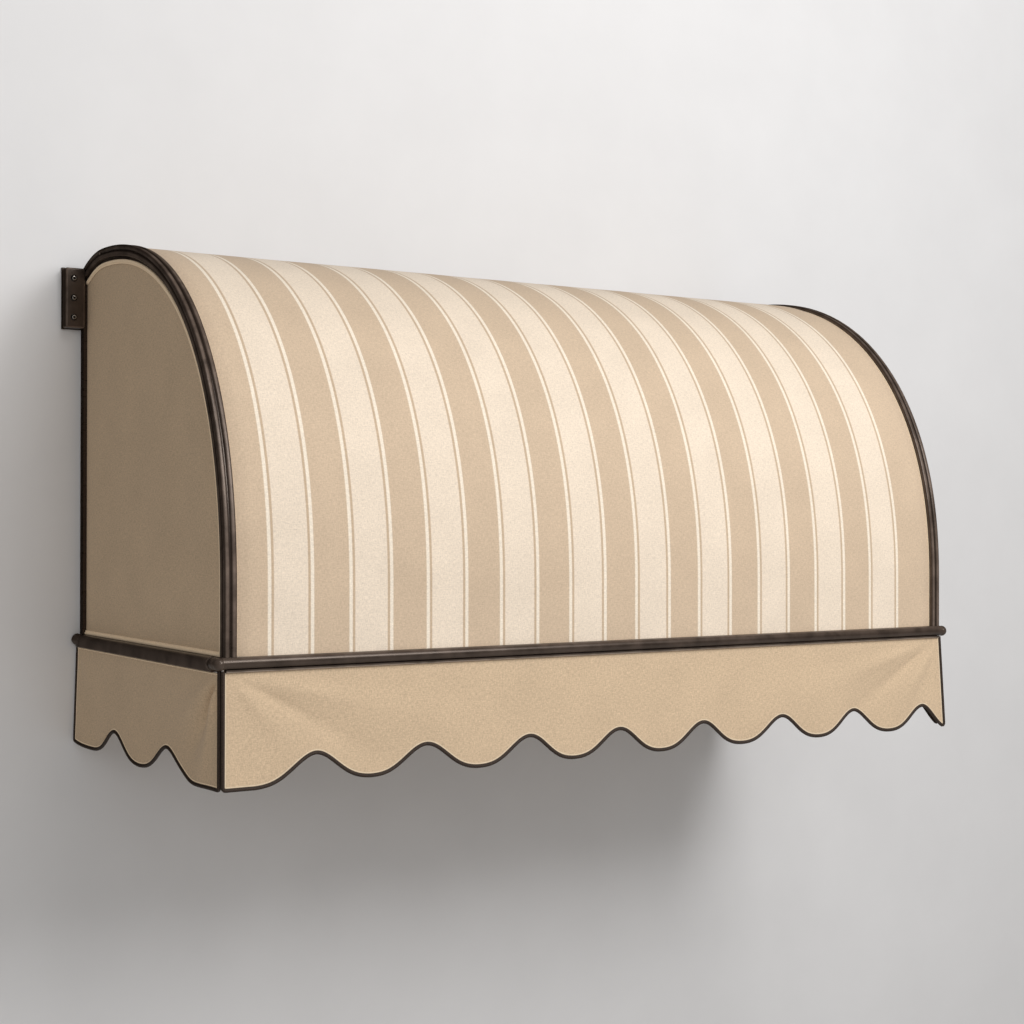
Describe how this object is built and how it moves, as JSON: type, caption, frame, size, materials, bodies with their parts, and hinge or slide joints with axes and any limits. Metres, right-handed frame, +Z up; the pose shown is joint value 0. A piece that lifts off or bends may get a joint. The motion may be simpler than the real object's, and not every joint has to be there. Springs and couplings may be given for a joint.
{
  "type": "window awning",
  "caption": "Fixed hood awning: striped canvas over curved metal bows, plain side panels, and a scalloped valance with bound edges.",
  "frame": {"origin": "middle of the head rail's back face, in the wall plane", "axes": "+X along the awning's width, to the right as seen from the street; +Y into the wall; +Z up"},
  "size_m": [2.0506, 0.8448, 1.1447],
  "materials": {
    "dark_bronze_metal": "satin dark bronze coating",
    "screw_metal": "darkened steel",
    "striped_canvas": "woven canvas, broad beige and cream stripes edged with thin lines",
    "beige_canvas": "plain woven canvas",
    "pale_welt": "folded canvas strip",
    "brown_binding": "dark brown braid"
  },
  "bodies": {
    "root": {"canopy_cover": "striped_canvas", "front_rail": "dark_bronze_metal", "front_valance": "beige_canvas", "front_valance_binding": "brown_binding", "front_valance_track": "dark_bronze_metal", "head_rail": "dark_bronze_metal", "left_bow_rivet": "dark_bronze_metal", "left_bracket_plate": "dark_bronze_metal", "left_bracket_screw_1": "screw_metal", "left_bracket_screw_2": "screw_metal", "left_bracket_screw_3": "screw_metal", "left_corner_fitting": "dark_bronze_metal", "left_end_bow": "dark_bronze_metal", "left_foot_bracket": "dark_bronze_metal", "left_foot_screw_1": "screw_metal", "left_foot_screw_2": "screw_metal", "left_inner_bow": "dark_bronze_metal", "left_panel_ledge": "dark_bronze_metal", "left_panel_welt": "pale_welt", "left_rail_cap": "dark_bronze_metal", "left_side_panel": "beige_canvas", "left_side_rail": "dark_bronze_metal", "left_upright": "dark_bronze_metal", "left_valance": "beige_canvas", "left_valance_binding": "brown_binding", "left_wall_bracket": "dark_bronze_metal", "right_bow_rivet": "dark_bronze_metal", "right_bracket_plate": "dark_bronze_metal", "right_bracket_screw_1": "screw_metal", "right_bracket_screw_2": "screw_metal", "right_bracket_screw_3": "screw_metal", "right_corner_fitting": "dark_bronze_metal", "right_end_bow": "dark_bronze_metal", "right_foot_bracket": "dark_bronze_metal", "right_foot_screw_1": "screw_metal", "right_foot_screw_2": "screw_metal", "right_inner_bow": "dark_bronze_metal", "right_panel_ledge": "dark_bronze_metal", "right_panel_welt": "pale_welt", "right_rail_cap": "dark_bronze_metal", "right_side_panel": "beige_canvas", "right_side_rail": "dark_bronze_metal", "right_upright": "dark_bronze_metal", "right_valance": "beige_canvas", "right_valance_binding": "brown_binding", "right_wall_bracket": "dark_bronze_metal"}
  },
  "joints": []
}
